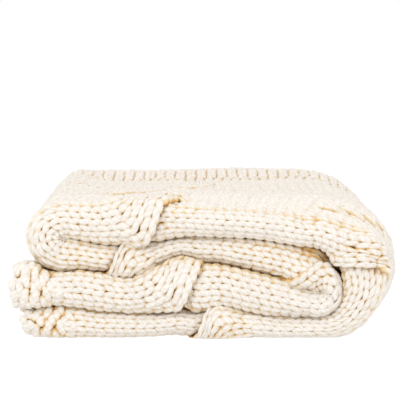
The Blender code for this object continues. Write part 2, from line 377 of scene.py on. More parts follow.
class Cloth:
    """The folded cloth's outer face, through the stitches' crests, on a grid of the flat knitting."""

    def __init__(self):
        self.along = grid_places(FLAT_LENGTH)
        self.across = grid_places(FLAT_WIDTH)
        sections, stretches = all_sections()
        columns = np.array([self.even_across(outside, half) for outside, half in sections])
        reached = self.reached_along(columns[:, :, :3])
        even = np.empty((len(self.along), len(self.across), 4))
        for i, way in enumerate(reached.T):
            even[:, i] = read_off(self.along, way, columns[:, i])
        self.points, self.half = even[:, :, :3], even[:, :, 3]

        # The sections' least x and y are those of C's end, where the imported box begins.
        low = CAD_BOX[0]
        self.points[:, :, 0] += low[0] - ENDS["C"][0] * MM
        self.points[:, :, 1] += low[1] - SET_BACK["C"] * MM
        top_start, top_end = reached[stretches["A"], len(self.across) // 2]
        self.points[:, :, 2] -= TOP_DIP * self.top_weight(top_start, top_end)
        self.creased = self.crease_depth()
        self.points -= self.face_normals() * self.creased[:, :, None]
        self.normals = self.face_normals()

    def face_normals(self):
        by_along = np.gradient(self.points, axis=0)
        by_across = np.gradient(self.points, axis=1)
        return unit(np.cross(by_along, by_across))

    def crease_depth(self):
        """How deep the creases are, all over the grid."""
        along, across = np.meshgrid(self.along, self.across, indexing="ij")
        total = np.zeros(along.shape)
        for way, width, depth in CREASES:
            way = np.array([(place, FLAT_WIDTH / 2 + from_fold * MM) for place, from_fold in way])
            nearest = np.full(along.shape, np.inf)
            for start, run in zip(way[:-1], np.diff(way, axis=0)):
                share = ((along - start[0]) * run[0] + (across - start[1]) * run[1]) / (run @ run)
                share = np.clip(share, 0, 1)
                gap = np.hypot(along - start[0] - share * run[0], across - start[1] - share * run[1])
                nearest = np.minimum(nearest, gap)
            total += depth * MM * bell(nearest, width * MM)
        return total

    def top_weight(self, start, end):
        """How much of the top's dip each place has: none at the front fold, far border and turns."""
        coming = smooth((self.along - start + TOP_FADE) / TOP_FADE)
        going = smooth((end + TOP_FADE - self.along) / TOP_FADE)
        behind = (FLAT_WIDTH / 2 - self.across) / (FLAT_WIDTH / 2)
        across = np.interp(behind, TOP_DIP_PLACES, TOP_DIP_SHARES)
        return (coming * going)[:, None] * smooth(across)[None, :]

    def reached_along(self, points):
        """How far along the throw each section is, at every place across."""
        lengths = np.linalg.norm(np.diff(points, axis=0), axis=2)
        from_fold = self.across - FLAT_WIDTH / 2
        ways = []
        for near in (np.abs(from_fold) < EVEN_FRONT, from_fold < -EVEN_FRONT, from_fold > EVEN_FRONT):
            way = np.concatenate([[0], np.cumsum(lengths[:, near].mean(axis=1))])
            ways.append(way * FLAT_LENGTH / way[-1])
        front, outer, inner = ways
        behind = np.where(from_fold < 0, outer[:, None], inner[:, None])
        return mix(front[:, None], behind, smooth(np.abs(from_fold) / EVEN_BEHIND))

    def even_across(self, points, half):
        """One section resampled so that each half is even in length from the fold to its border."""
        fold = LEAF_ROWS + FOLD_ROWS // 2 - 1
        steps = np.linalg.norm(np.diff(points, axis=0), axis=1)
        reached = np.concatenate([[0], np.cumsum(steps)]) - steps[:fold].sum()
        reached = np.where(reached < 0, reached / -reached[0], reached / reached[-1])
        reached = (1 + reached) * FLAT_WIDTH / 2
        return read_off(self.across, reached, np.column_stack([points, half]))

    def sample(self, grid, along, across):
        """A grid's value between its points, by a weighted mean of the four round it."""
        u = np.clip(along / self.along[1], 0, len(self.along) - GRID_END)
        v = np.clip(across / self.across[1], 0, len(self.across) - GRID_END)
        i, j = u.astype(int), v.astype(int)
        fu, fv = u - i, v - j
        if grid.ndim == 3:
            fu, fv = fu[..., None], fv[..., None]
        near = mix(grid[i, j], grid[i, j + 1], fv)
        far = mix(grid[i + 1, j], grid[i + 1, j + 1], fv)
        return mix(near, far, fu)

    def heading(self, along, across, step_along, step_across):
        """The way that the cloth runs at places, measured a step before them and a step after."""
        before = inside(along - step_along, across - step_across)
        after = inside(along + step_along, across + step_across)
        return unit(self.sample(self.points, *after) - self.sample(self.points, *before))

    def place(self, along, across, above):
        """Points in space of places on the flat knitting. Past an edge the cloth goes straight on."""
        on_along, on_across = inside(along, across)
        points = self.sample(self.points, on_along, on_across)
        points += unit(self.sample(self.normals, on_along, on_across)) * above[..., None]
        run = self.heading(on_along, on_across, 2 * GRID, 0)
        side = self.heading(on_along, on_across, 0, 2 * GRID)
        points += run * (along - on_along)[..., None]
        return points + side * (across - on_across)[..., None]


CLOTH = Cloth()


# -------------------------------------------------------------------------------------------------
# The knitting pattern, counted in wales (columns) and rows. After the first side border come the
# third, the second and the front cable, each behind a purl channel, and then one more channel.

WALES = 84
WALE = FLAT_WIDTH / WALES
MIDDLE = FLAT_WIDTH / 2
END_BORDER = 53.2 * MM
END_RIDGES = 4
END_RIDGE = END_BORDER / END_RIDGES
ROWS = 128
ROW = (FLAT_LENGTH - 2 * END_BORDER) / ROWS
BORDER_WALES = 6
CABLE_WALES = 12
STRAND_WALES = 6
CABLE_SPACING = 14
CHANNEL_WALES = 2
SIDE_RIDGES = 112
SIDE_RIDGE = (FLAT_LENGTH - 2 * END_BORDER) / SIDE_RIDGES

# Where the rows and ridges have their middles along the throw
ROW_PLACES = END_BORDER + (np.arange(ROWS) + 0.5) * ROW
SIDE_PLACES = END_BORDER + (np.arange(SIDE_RIDGES) + 0.5) * SIDE_RIDGE
END_PLACES = (np.arange(END_RIDGES) + 0.5) * END_RIDGE

# The stretch whose outer face shows right back to the side border: the curl, the top and the roll.
# Before it that face lies on the floor, and after it in the stack.
SHOWN_STRETCH = (0.31, 0.935)

# Where the front cable's crossings begin along the throw and how many rows the wale that leads each
# one takes to go over. The second cable's crossings come a little later than the front one's, and
# all the crossings of the cables behind are steep.
FRONT_CROSSINGS = np.array((0.162, 0.364, 0.645, 0.857, 1.012, 1.302))
LEADING_ROWS = (4.8, 9.0, 2.4, 4.5, 15.0, 2.4)
CROSSING_LAG = {0: 0.0, -1: 0.05, -2: 0.0}

# How far the knitting is shifted across at the front fold, in wales, at places along the throw
DRIFT_ALONG = (0.0, 0.297, 0.404, FLAT_LENGTH)
DRIFT_WALES = (-4.0, -4.0, -4.2, -4.2)


def wale_middle(wale):
    return (wale + 0.5) * WALE


def cable_middle(cable):
    """Where a cable's middle lies across the throw. Cable 0 runs along the front fold."""
    return MIDDLE + cable * CABLE_SPACING * WALE


# -------------------------------------------------------------------------------------------------
# Yarn: one stitch of each kind, as (points, faces, each face corner's place on the unrolled yarn).
# A stitch's points are (along, across, above) from its own place.

# How many rings and sides a strand's tube has: more where the eye comes closer
CLOSE = (7, 7)
NEAR = (6, 6)
SUNKEN = (5, 5)
HIDDEN = (4, 5)
SIDE_TURN = (9, 6)
END_TURN = (10, 7)

# The step by which a strand's direction is found, the distance at which its seam is merged, and the
# share that it fills of its strip of the map
TANGENT_STEP = 0.001
MERGED = 1e-6
STRIP_SHARE = 0.94

# A knit stitch's legs, in rows along and wales across, and how far their ends dive
LEG_START, LEG_END = -0.32, 1.25
LEG_IN, LEG_OUT = 0.13, 0.37
LEG_DIP = 5.0 * MM
LEG_ARCH = 2.4
LEG_END_SHARE = 0.3

# The arcs of a purl stitch: wales across, and shares of a ridge between the two of them
BUMP_DIP = 5.5 * MM
BUMP_ARCH = 1.5
BUMP_REACH = 4.4 * MM
BUMP_WALES = 1.12
BUMP_END_SHARE = 0.25
BUMP_SHIFT = 0.2

# The turn round an edge: its start and end, as shares of a half circle, how far it reaches past the
# outermost stitches, and how its ends tuck in under the stitches of the faces
EDGE_TURN = (-0.08, 1.08)
EDGE_REACH = 7.0 * MM
EDGE_INWARD = 5.0 * MM
EDGE_DIP = 0.3
EDGE_END_SHARE = 0.2


def strand(route, radius, detail, level=(0.0, 0.0, 1.0)):
    """A short closed length of yarn. route and radius take shares of its length."""
    rings, sides = detail
    tube = bmesh.new()
    unrolled = tube.loops.layers.uv.new("Yarn")
    bmesh.ops.create_grid(tube, x_segments=rings, y_segments=sides, size=0.5, calc_uvs=True)
    share = np.array([vert.co.x + 0.5 for vert in tube.verts])
    turn = np.array([vert.co.y + 0.5 for vert in tube.verts]) * math.tau
    ahead = np.stack(route(np.clip(share + TANGENT_STEP, 0, 1)), axis=1)
    behind = np.stack(route(np.clip(share - TANGENT_STEP, 0, 1)), axis=1)
    tangent = unit(ahead - behind)
    side = unit(np.cross(tangent, level))
    up = np.cross(side, tangent)
    out = side * np.cos(turn)[:, None] + up * np.sin(turn)[:, None]
    points = np.stack(route(share), axis=1) + out * radius(share)[:, None]
    for vert, point in zip(tube.verts, points):
        vert.co = point
    bmesh.ops.remove_doubles(tube, verts=tube.verts, dist=MERGED)
    bmesh.ops.recalc_face_normals(tube, faces=tube.faces)
    tube.verts.index_update()
    points = np.array([vert.co[:] for vert in tube.verts])
    faces = [[vert.index for vert in face.verts] for face in tube.faces]
    corners = np.array([loop[unrolled].uv[:] for face in tube.faces for loop in face.loops])
    tube.free()
    return points, faces, corners


def together(*strands):
    """Several strands as one stitch, each with its own strip of the unrolled map."""
    points, faces, corners, before = [], [], [], 0
    for index, (some_points, some_faces, some_corners) in enumerate(strands):
        points.append(some_points)
        faces += [[corner + before for corner in face] for face in some_faces]
        corners.append((some_corners * (1, STRIP_SHARE) + (0, index)) / (1, len(strands)))
        before += len(some_points)
    return np.concatenate(points), faces, np.concatenate(corners)


def rounded(share, end):
    """A strand's radius as a share of its full one: full along the middle, closed at each end."""
    reach = np.clip(np.minimum(share, 1 - share) / end, 0, 1)
    return np.sqrt(np.clip(1 - (1 - reach) ** 2, 0, 1))


def leg(side, radius, detail):
    """One leg of a knit stitch: it comes out of the stitch before and dives under the next."""
    def route(share):
        arch = np.abs(2 * share - 1) ** LEG_ARCH
        along = mix(LEG_START, LEG_END, share) * ROW
        across = side * mix(LEG_IN, LEG_OUT, smooth(share)) * WALE
        return along, across, -radius - LEG_DIP * arch

    return strand(route, lambda share: radius * rounded(share, LEG_END_SHARE), detail)


def knit_stitch(radius, detail):
    """A knit stitch: two legs that make a V."""
    return together(leg(1, radius, detail), leg(-1, radius, detail))


def bump(lean, radius, detail, along_shift, across_shift, crest):
    """An arc of yarn across one wale, as on the back of a stitch, leaning along the throw."""
    def route(share):
        arch = 1 - (2 * share - 1) ** 2
        along = along_shift + lean * BUMP_REACH * (arch - 0.5)
        across = across_shift + (share - 0.5) * BUMP_WALES * WALE
        return along, across, crest - radius - BUMP_DIP * (1 - arch) ** BUMP_ARCH

    return strand(route, lambda share: radius * rounded(share, BUMP_END_SHARE), detail)


def purl_stitch(radius, detail, pitch, crest=0.0):
    """A purl stitch: the arc of one loop and the arc between it and the next, interlocked."""
    over = bump(1, radius, detail, BUMP_SHIFT * pitch, 0.0, crest)
    under = bump(-1, radius, detail, -BUMP_SHIFT * pitch, 0.5 * WALE, crest)
    return together(over, under)


def edge_stitch(outwards, radius, detail, width, at_end):
    """The turn of yarn round the throw's edge, from one face of the leaf to the other."""
    def route(share):
        angle = mix(*EDGE_TURN, share) * math.pi
        tucked = (1 - np.sin(angle)) ** 2
        bulge = EDGE_REACH * (np.sin(angle) - 1) - EDGE_INWARD * tucked
        out = outwards * (bulge - radius)
        above = -LEAF / 2 + (LEAF / 2 - radius) * np.cos(angle) * (1 - EDGE_DIP * tucked)
        beside = width * (share - 0.5)
        return (out, beside, above) if at_end else (beside, out, above)

    level = (0.0, 1.0, 0.0) if at_end else (1.0, 0.0, 0.0)
    return strand(route, lambda share: radius * rounded(share, EDGE_END_SHARE), detail, level)


# -------------------------------------------------------------------------------------------------
# Joined copies of a stitch, laid on the cloth

# How much the stitches differ in size, how far they slip along, across and above, and each piece's
# seed for that
SIZE_CHANCE = 0.04
SLIP_CHANCE = (0.5 * MM, 0.35 * MM, 0.4 * MM)
SEEDS = {
    "front_cable_first_half": 11,
    "front_cable_second_half": 12,
    "second_cable": 21,
    "third_cable": 22,
    "second_cable_underside": 31,
    "third_cable_underside": 32,
    "purl_channels": 41,
    "front_purl_channel": 42,
    "side_border": 51,
    "end_borders_front": 61,
    "end_borders_rest": 62,
    "side_edge_far": 71,
    "side_edge_near": 72,
    "end_edge_first": 73,
    "end_edge_last": 74,
}

# The height under which the yarn is flattened, so that none of it sinks into the floor
RESTING = 2.0 * MM

# Where nothing presses on the outer face: at the front fold, and over a stretch of the outside. The
# share is how far the yarn rises elsewhere.
FRONT_REACH = 20 * MM
OPEN_FADE = 30 * MM
OPEN_STRETCH = (0.44, 0.822)
PRESSED = 0.2

# How far the cloth stands out where it is pressed, and on the shoulders on both sides of the fold.
# It is plumper in two places along the throw, of which the first is so on its inner side only.
PRESSED_OUT = 2.2 * MM
SHOULDER = 2.2 * MM
SHOULDER_FROM_FOLD = 28 * MM
SHOULDER_REACH = 18 * MM
PLUMP = 4.5 * MM
PLUMP_INNER, PLUMP_BOTH = 0.815, 1.14
PLUMP_LENGTH = 60 * MM
PLUMP_REACH = 32 * MM

# A stitch thins with the room that its leaf has, down to this share.
LEAST_ROOM = 0.3

# Painted shade on the yarn, warmer and darker as it lies deeper: 0 on its crests, 1 at the full depth,
# more in the creases, between layers and in the stretches that the gain raises, less towards the
# throw's edges.
FULL_SHADE_DEPTH = 12 * MM
LOWERED_SHADE = 0.2
CREASED_DEPTH = 3.5 * MM
LAYER_SHADE = 0.4
SHADE_GAIN_ALONG = (0.30, 0.37, 0.82, 0.845, 0.87, 0.90, 1.10, 1.17)
SHADE_GAIN = (1.5, 1.0, 1.0, 1.7, 1.7, 1.45, 1.45, 1.0)
LAYER_REACH = 33 * MM
OPEN_LAYERS = 1.4
EXPOSED_REACH = 45 * MM
EDGE_SHADE = 0.3
EDGE_SHADE_BEHIND = 40 * MM
EDGE_SHADE_FRONT = 12 * MM

# Each stitch has its own cell of the map, with a margin, and its own start in the yarn's pattern.
BAKE_MARGIN = 0.06
YARN_STARTS = 7.0


def drifted(along, across):
    """Shifts the knitting across, fully at the front fold and not at all at the borders."""
    drift = np.interp(along, DRIFT_ALONG, DRIFT_WALES) * WALE
    return across + drift * (1 - np.abs(across / MIDDLE - 1))


def rest_on_floor(points):
    """Flattens what would sink below the floor, so the underside lies on it."""
    low = points[:, 2] < RESTING
    points[low, 2] = RESTING * np.exp(points[low, 2] / RESTING - 1)
    return points


def to_edge(along, across):
    """How far it is from a place to the throw's nearest edge."""
    return np.minimum(np.minimum(along, FLAT_LENGTH - along), np.minimum(across, FLAT_WIDTH - across))


def near_fold(across, reach, reaches):
    """1 on the front fold, and 0 past so many reaches from it. It falls off over the last one."""
    return smooth(reaches - np.abs(across - MIDDLE) / reach)


def covered(along, across):
    """1 where the outer face lies against another layer, 0 at the front fold and outside."""
    front = near_fold(across, LAYER_REACH, OPEN_LAYERS)
    before_end = smooth((SHOWN_STRETCH[1] - along) / LAYER_REACH)
    outside = smooth((MIDDLE - across) / LAYER_REACH) * before_end
    return (1 - np.maximum(front, outside)) * smooth(to_edge(along, across) / EXPOSED_REACH)


def room_to_rise(along, across):
    """1 where nothing presses on the cloth's outer face: the front fold, the top and the turns."""
    front = smooth(1 - (np.abs(across - MIDDLE) - FRONT_REACH) / OPEN_FADE)
    after_start = smooth((along - OPEN_STRETCH[0]) / OPEN_FADE)
    before_end = smooth((OPEN_STRETCH[1] - along) / OPEN_FADE)
    outside = smooth((MIDDLE - across) / OPEN_FADE)
    return mix(PRESSED, 1.0, np.maximum(front, after_start * before_end * outside))


def standing_out(along, across):
    """How far the cloth stands out from the solid's face."""
    pressed = PRESSED_OUT * (1 - room_to_rise(along, across))
    shoulder = SHOULDER * bell(np.abs(across - MIDDLE) - SHOULDER_FROM_FOLD, SHOULDER_REACH)
    inner = smooth((across - MIDDLE) / PLUMP_REACH)
    plump_inner = bell(along - PLUMP_INNER, PLUMP_LENGTH) * inner
    plump = bell(along - PLUMP_BOTH, PLUMP_LENGTH) + plump_inner
    return pressed + shoulder + PLUMP * plump * near_fold(across, PLUMP_REACH, 2)


def painted_shade_share(along, across, deep, lowered):
    """How much painted shade the yarn has, from 0 to 1: warmer and darker deep between the stitches.
    """
    creased = np.maximum(CLOTH.sample(CLOTH.creased, *inside(along, across)), 0)
    depth = (deep + LOWERED_SHADE * lowered) / FULL_SHADE_DEPTH
    # Painted shade is stronger in the creases
    depth *= 1 + np.minimum(creased / CREASED_DEPTH, 1)
    # and in the stretches that lie under other bands
    depth *= np.interp(along, SHADE_GAIN_ALONG, SHADE_GAIN)
    # and where the outer face lies against another layer
    painted_shade = np.clip(LAYER_SHADE * covered(along, across) + depth, 0, 1)
    # Less painted shade towards the throw's edges
    front = near_fold(across, LAYER_REACH, OPEN_LAYERS)
    reach = mix(EDGE_SHADE_BEHIND, EDGE_SHADE_FRONT, front)
    return painted_shade * mix(EDGE_SHADE, 1, smooth(to_edge(along, across) / reach))


def joined(name, stitch, copies, points, attributes, material, chance):
    """One mesh of all copies, with a map of their cells, one of their yarn and the attributes."""
    template, faces, corners = stitch
    sizes = np.array([len(face) for face in faces])
    corner_points = np.concatenate([np.array(face) for face in faces])
    loops = corner_points[None, :] + (np.arange(copies) * len(template))[:, None]
    starts = np.concatenate([[0], np.cumsum(np.tile(sizes, copies))[:-1]])
    mesh = bpy.data.meshes.new(name)
    mesh.vertices.add(len(points))
    mesh.vertices.foreach_set("co", points.astype(np.float32).ravel())
    mesh.loops.add(loops.size)
    mesh.loops.foreach_set("vertex_index", loops.astype(np.int32).ravel())
    mesh.polygons.add(len(starts))
    mesh.polygons.foreach_set("loop_start", starts.astype(np.int32))
    side = math.ceil(math.sqrt(copies))
    number = np.arange(copies)
    cell = np.stack([number % side, number // side], axis=1)[:, None, :]
    in_cell = BAKE_MARGIN + (1 - 2 * BAKE_MARGIN) * corners[None, :, :]
    start = chance.random((copies, 1, 2)) * YARN_STARTS
    maps = {"OFBake": (cell + in_cell) / side, "Yarn": corners[None, :, :] + start}
    for layer, values in maps.items():
        uv = mesh.uv_layers.new(name=layer)
        uv.uv.foreach_set("vector", values.astype(np.float32).ravel())
    for attribute, values in attributes.items():
        stored = mesh.attributes.new(attribute, "FLOAT", "POINT")
        stored.data.foreach_set("value", values.astype(np.float32).ravel())
    mesh.update(calc_edges=True)
    if mesh.validate(verbose=False):
        raise RuntimeError(f"{name} has faces that Blender can't use")
    mesh.polygons.foreach_set("use_smooth", np.ones(len(starts), bool))
    mesh.materials.append(material)
    return add_piece(name, mesh)


def add_piece(name, mesh):
    """A finished piece of wool, fixed to the throw's one body."""
    piece = bpy.data.objects.new(name, mesh)
    bpy.context.scene.collection.objects.link(piece)
    piece["knitted"] = name != "ground_shade_sheet"
    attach(piece, "root")
    return piece


def chances(name, copies):
    """Each copy's own size and slip, so that no two stitches of a piece are quite alike."""
    chance = np.random.default_rng(SEEDS[name])
    size = 1 + SIZE_CHANCE * chance.standard_normal((copies, 1))
    slips = [limit * chance.standard_normal((copies, 1)) for limit in SLIP_CHANCE]
    return chance, size, slips


def lay(name, stitch, along, across, raised, material, chance):
    """Lays copies of a stitch, given where each point lies and how far the yarn is raised there."""
    template = stitch[0]
    across = drifted(along, across)
    half = CLOTH.sample(CLOTH.half, *inside(along, across))
    room = np.clip((half - SLOT / 2) / LEAF, LEAST_ROOM, 1.0)
    own_height = template[None, :, 2] * room
    above = own_height + raised + standing_out(along, across)
    points = rest_on_floor(CLOTH.place(along, across, above).reshape(-1, 3))
    # Painted shade, warmer and darker where the yarn lies deep, kept on each point for the finish
    painted_shade = painted_shade_share(along, across, -own_height, -np.minimum(raised, 0))
    tone = np.repeat(chance.random((len(along), 1)), len(template), axis=1)
    attributes = {"painted_shade": painted_shade, "tone": tone}
    return joined(name, stitch, len(along), points, attributes, material, chance)


def knit(name, stitch, along, across, material, loose=1.0):
    """Joined copies of a stitch at places on the throw, each in line with its wale."""
    template = stitch[0]
    chance, size, slips = chances(name, len(along))
    at_along = along[:, None] + loose * slips[0] + template[None, :, 0] * size
    at_across = across[:, None] + loose * slips[1] + template[None, :, 1]
    return lay(name, stitch, at_along, at_across, slips[2], material, chance)


def places(alongs, acrosses):
    """Every pair of a place along and a place across, as two flat arrays."""
    first, second = np.meshgrid(alongs, acrosses, indexing="ij")
    return first.ravel(), second.ravel()


# -------------------------------------------------------------------------------------------------
# Cables: at each crossing the six wales nearer the first side border pass over the other six.
# The wale that leads the crossing goes over steeply, and the others follow more and more gently.
# Places along a crossing are counted in rows from its start.

LEAD_WALES = (-0.5, 2.0, 4.0, 5.0, 5.5)
LEAD_ROWS = (7.2, 6.3, 4.9, 3.7, 2.4)
SETTLING_SHARE = 0.12
SETTLING_ROWS = 9.0
STEEPEST = 2.4

# When the other strand's wales go under: the first one's row and the spacing of the rest, each at the
# steepest crossing and its growth with gentler ones
UNDER_START = (0.3, 0.33)
UNDER_SPACING = (0.36, 0.065)
UNDER_ROWS = 3.5

# How the cable narrows just after a crossing's start: the share, the row and the rows either way
PINCH, PINCH_ROW, PINCH_ROWS = 0.03, 2, 7

# A front wale rises and falls again, later at gentler crossings and higher nearer the leading wale.
# Its strand is a little round across, most of all near the crossing's start.
RISE_EARLY, RISE_ROWS = 0.8, 1.2
RISE_LATER = 0.33
FALL_SHARE, FALL_LATEST = 0.8, 6.0
FALL_GROWTH, FALL_LEAST, FALL_LONGEST = 0.5, 1, 4.2
LOWEST_LEAD = 0.5
STRAND_ROUND, ROUND_ROW, ROUND_ROWS = 2.0 * MM, 1, 5

# A wale of the other strand sinks by a share of that rise, and comes up when the front one is past.
SINK_SHARE, SINK_EARLY = 0.625, 0.2
SUNK_ROWS, SUNK_SPACING, UP_ROWS = 1.5, 0.64, 2.0

# A slanting wale is no narrower than this share. Its path is worked out in steps, with some to spare.
THINNEST = 0.55
PATH_STEP = 1 * MM
PATH_SPARE = 40 * MM

# How far from the front fold a cable is knitted where its outer face lies in the stack
SHOWN_FROM_FOLD = 64 * MM
FIRST_ROW_OVER = 7 * MM


def crossing_rows(wale, leading):
    """How many rows a wale of the front strand takes to go over. The last one, 5, leads."""
    return np.maximum(np.interp(wale, LEAD_WALES, LEAD_ROWS), leading)


def under_start(wale, leading):
    """The row where a wale of the other strand goes under the leading one."""
    gentle = leading - STEEPEST
    spacing = UNDER_SPACING[0] + UNDER_SPACING[1] * gentle
    return UNDER_START[0] + UNDER_START[1] * gentle + spacing * (wale - STRAND_WALES)


def crossed(rows, quick):
    """How far a wale has gone over, from 0 to 1: most of it quickly, and the rest as it settles."""
    return mix(smooth(rows / quick), smooth(rows / SETTLING_ROWS), SETTLING_SHARE)


def wale_place(wale, in_front, rows, leading):
    """Where a wale stands in its cable, in wales, so many rows past the start of a crossing."""
    if in_front:
        place = wale + STRAND_WALES * crossed(rows, crossing_rows(wale, leading))
    else:
        place = wale - STRAND_WALES * smooth((rows - under_start(wale, leading)) / UNDER_ROWS)
    middle = (CABLE_WALES - 1) / 2
    return (place - middle) * (1 - PINCH * bell(rows - PINCH_ROW, PINCH_ROWS))


def wale_height(wale, in_front, rows, leading, rise):
    """How far a wale's yarn is raised or lowered, so many rows past the start of a crossing."""
    if in_front:
        quick = crossing_rows(wale, leading)
        late = RISE_LATER * (leading - STEEPEST)
        up = smooth((rows + RISE_EARLY - late) / (RISE_ROWS + late))
        fall = np.minimum(FALL_SHARE * quick, FALL_LATEST)
        fall_rows = np.minimum(FALL_GROWTH * quick + FALL_LEAST, FALL_LONGEST)
        down = 1 - smooth((rows - fall) / fall_rows)
        lead = mix(LOWEST_LEAD, 1.0, wale / (STRAND_WALES - 1))
        in_strand = (wale - (STRAND_WALES - 1) / 2) / (STRAND_WALES / 2)
        arch = STRAND_ROUND * bell(rows - ROUND_ROW, ROUND_ROWS) * (1 - 2 * in_strand**2)
        return rise * lead * up * down + arch
    under = under_start(wale, leading) - SINK_EARLY
    again = under + SUNK_ROWS + SUNK_SPACING * (wale - STRAND_WALES)
    up = smooth((rows - again) / UP_ROWS)
    return -SINK_SHARE * rise * smooth(rows - under) * (1 - up)


def wale_path(cable, wale, crossing, leading, start, end):
    """One wale's path through the rows round a crossing: arrays at even steps along the throw."""
    along = np.arange(start - PATH_SPARE, end + PATH_SPARE, PATH_STEP)
    rows = (along - crossing) / ROW
    in_front = wale < STRAND_WALES
    across = cable_middle(cable) + wale_place(wale, in_front, rows, leading) * WALE
    run, rise = np.gradient(along), np.gradient(across)
    step = np.hypot(run, rise)
    reached = np.cumsum(step)
    reached -= np.interp(start, along, reached)
    before, after = (wale_place(wale + way, in_front, rows, leading) for way in (-0.5, 0.5))
    beside = after - before
    width = np.maximum(beside * run / step, THINNEST)
    return {
        "along": along,
        "across": across,
        "run": run / step,
        "rise": rise / step,
        "width": width,
        "rows": rows,
        "reached": reached,
    }


def shows(along, across):
    """Whether a stitch can be seen: at the front fold, on the top, the turns and the underside."""
    across = drifted(along, across)
    at_fold = abs(across - MIDDLE) < SHOWN_FROM_FOLD
    return at_fold or (across < MIDDLE and along < SHOWN_STRETCH[1])


def cable_stitches(number, start, end):
    """A cable's stitches that show, each as its wale, leading rows, start on the path and path."""
    crossings = FRONT_CROSSINGS + CROSSING_LAG[number]
    leads = LEADING_ROWS if number == 0 else (STEEPEST,) * len(crossings)
    halfway = (crossings[1:] + crossings[:-1]) / 2
    first = END_BORDER - FIRST_ROW_OVER
    bounds = np.concatenate([[first], halfway, [FLAT_LENGTH - first]])
    stitches = []
    for crossing, leading, window_start, window_end in zip(crossings, leads, bounds[:-1], bounds[1:]):
        for wale in range(CABLE_WALES):
            path = wale_path(number, wale, crossing, leading, window_start, window_end)
            length = np.interp(window_end, path["along"], path["reached"])
            count = round(length / ROW)
            for begin in np.arange(count) * length / count:
                along = np.interp(begin, path["reached"], path["along"])
                across = np.interp(begin, path["reached"], path["across"])
                if start <= along < end and shows(along, across):
                    stitches.append((wale, leading, begin, path))
    return stitches


def cable(name, number, start, end, stitch, rise, material):
    """One cable's knit stitches, between two places along the throw."""
    stitches = cable_stitches(number, start, end)
    template = stitch[0]
    chance, size, slips = chances(name, len(stitches))
    alongs, acrosses, heights = (np.empty((len(stitches), len(template))) for _ in range(3))
    for index, (wale, leading, begin, path) in enumerate(stitches):
        reached = begin + slips[0][index] + template[:, 0] * size[index]
        at = {key: np.interp(reached, path["reached"], values) for key, values in path.items()}
        offset = template[:, 1] * at["width"] + slips[1][index]
        alongs[index] = at["along"] - at["rise"] * offset
        acrosses[index] = at["across"] + at["run"] * offset
        heights[index] = wale_height(wale, wale < STRAND_WALES, at["rows"], leading, rise)
    room = room_to_rise(alongs, drifted(alongs, acrosses))
    heights = np.where(heights > 0, heights * room, heights) + slips[2]
    return lay(name, stitch, alongs, acrosses, heights, material, chance)


# -------------------------------------------------------------------------------------------------
# The ground: a thin closed sheet just under the yarn, coloured as painted shade where it shows between
# stitches

GROUND_DEPTH = 7.5 * MM
GROUND_SHARE = 0.6
GROUND_THICKNESS = 3.5 * MM
GROUND_ALONG = 164
GROUND_ACROSS = 136

# How much painted shade the sheet has: behind the front fold, on it, between layers, and at the edges,
# from which it grows inwards
GROUND_SHADE_BEHIND = 0.15
GROUND_SHADE_FRONT = 0.62
GROUND_FRONT_REACH = 33 * MM
GROUND_SHADE_COVERED = 0.9
GROUND_SHADE_EDGE = 0.4
GROUND_EDGE_REACH = 100 * MM


def ground_painted_shade(along, across):
    """How much painted shade the ground has, from 0 to 1."""
    deep = mix(GROUND_SHADE_BEHIND, GROUND_SHADE_FRONT, near_fold(across, GROUND_FRONT_REACH, 2))
    deep = mix(deep, GROUND_SHADE_COVERED, covered(along, across))
    return np.minimum(deep, GROUND_SHADE_EDGE + to_edge(along, across) / GROUND_EDGE_REACH)


def ground_mesh():
    """The sheet, whose grid is closest round the front fold."""
    sheet = bmesh.new()
    bmesh.ops.create_grid(
        sheet, x_segments=GROUND_ALONG, y_segments=GROUND_ACROSS, size=0.5, calc_uvs=True
    )
    along = np.array([vert.co.x + 0.5 for vert in sheet.verts]) * FLAT_LENGTH
    side = np.array([vert.co.y * 2 for vert in sheet.verts])
    across = MIDDLE * (1 + 0.5 * side + 0.5 * side**3)
    half = CLOTH.sample(CLOTH.half, along, across)
    depth = np.minimum(GROUND_DEPTH, GROUND_SHARE * half)
    points = rest_on_floor(CLOTH.place(along, across, -depth))
    for vert, point in zip(sheet.verts, points):
        vert.co = point
    bmesh.ops.recalc_face_normals(sheet, faces=sheet.faces)
    mesh = bpy.data.meshes.new("ground_shade_sheet")
    sheet.to_mesh(mesh)
    sheet.free()
    # Painted shade on the sheet, kept on each point for the finish
    painted_shade = mesh.attributes.new("painted_shade", "FLOAT", "POINT")
    painted_shade.data.foreach_set("value", ground_painted_shade(along, across).astype(np.float32))
    return mesh


# -------------------------------------------------------------------------------------------------
# Materials

# The wool's fibres and plies, on the unrolled yarn
PLY_SHARE = 0.45
FIBRE_SLANT = math.radians(14)
FIBRE_STRETCH = (1.2, 9.0, 1.0)
PLY_STRETCH = (2.4, 4.0, 0.0)

# The depths over which painted shade turns the colour to the sides' and then to the deep one
SIDE_SHADE_DEPTHS = (0.10, 0.42)
DEEP_SHADE_DEPTHS = (0.36, 0.75)

# How light the stitches and the fibres are, the fibres darker where they lie low (partly their own
# tone, partly painted shade), and how rough, from the least to the most
TONES = (0.955, 1.0)
STREAK_HEIGHTS = (0.3, 0.7)
STREAK_TONE_AND_SHADE = (0.91, 1.0)
ROUGHNESS = (0.82, 0.98)

# The fluff on the yarn, and how far its fibres stand out on each finish
SHEEN = 0.25
SHEEN_TINT = (1.0, 0.84, 0.64, 1.0)
YARN_RELIEF = 0.6 * MM
GROUND_RELIEF = 0.8 * MM
REVERSE_RELIEF = 2 * MM

# The ground's face has a darker deep colour for its painted shade, its reverse has one even share of
# painted shade, and both have so many repeats of the fibres to a metre.
GROUND_DEEP_SHADE = (0.45, 0.23, 0.06)
REVERSE_SHADE = 0.12
GROUND_REPEATS = 60

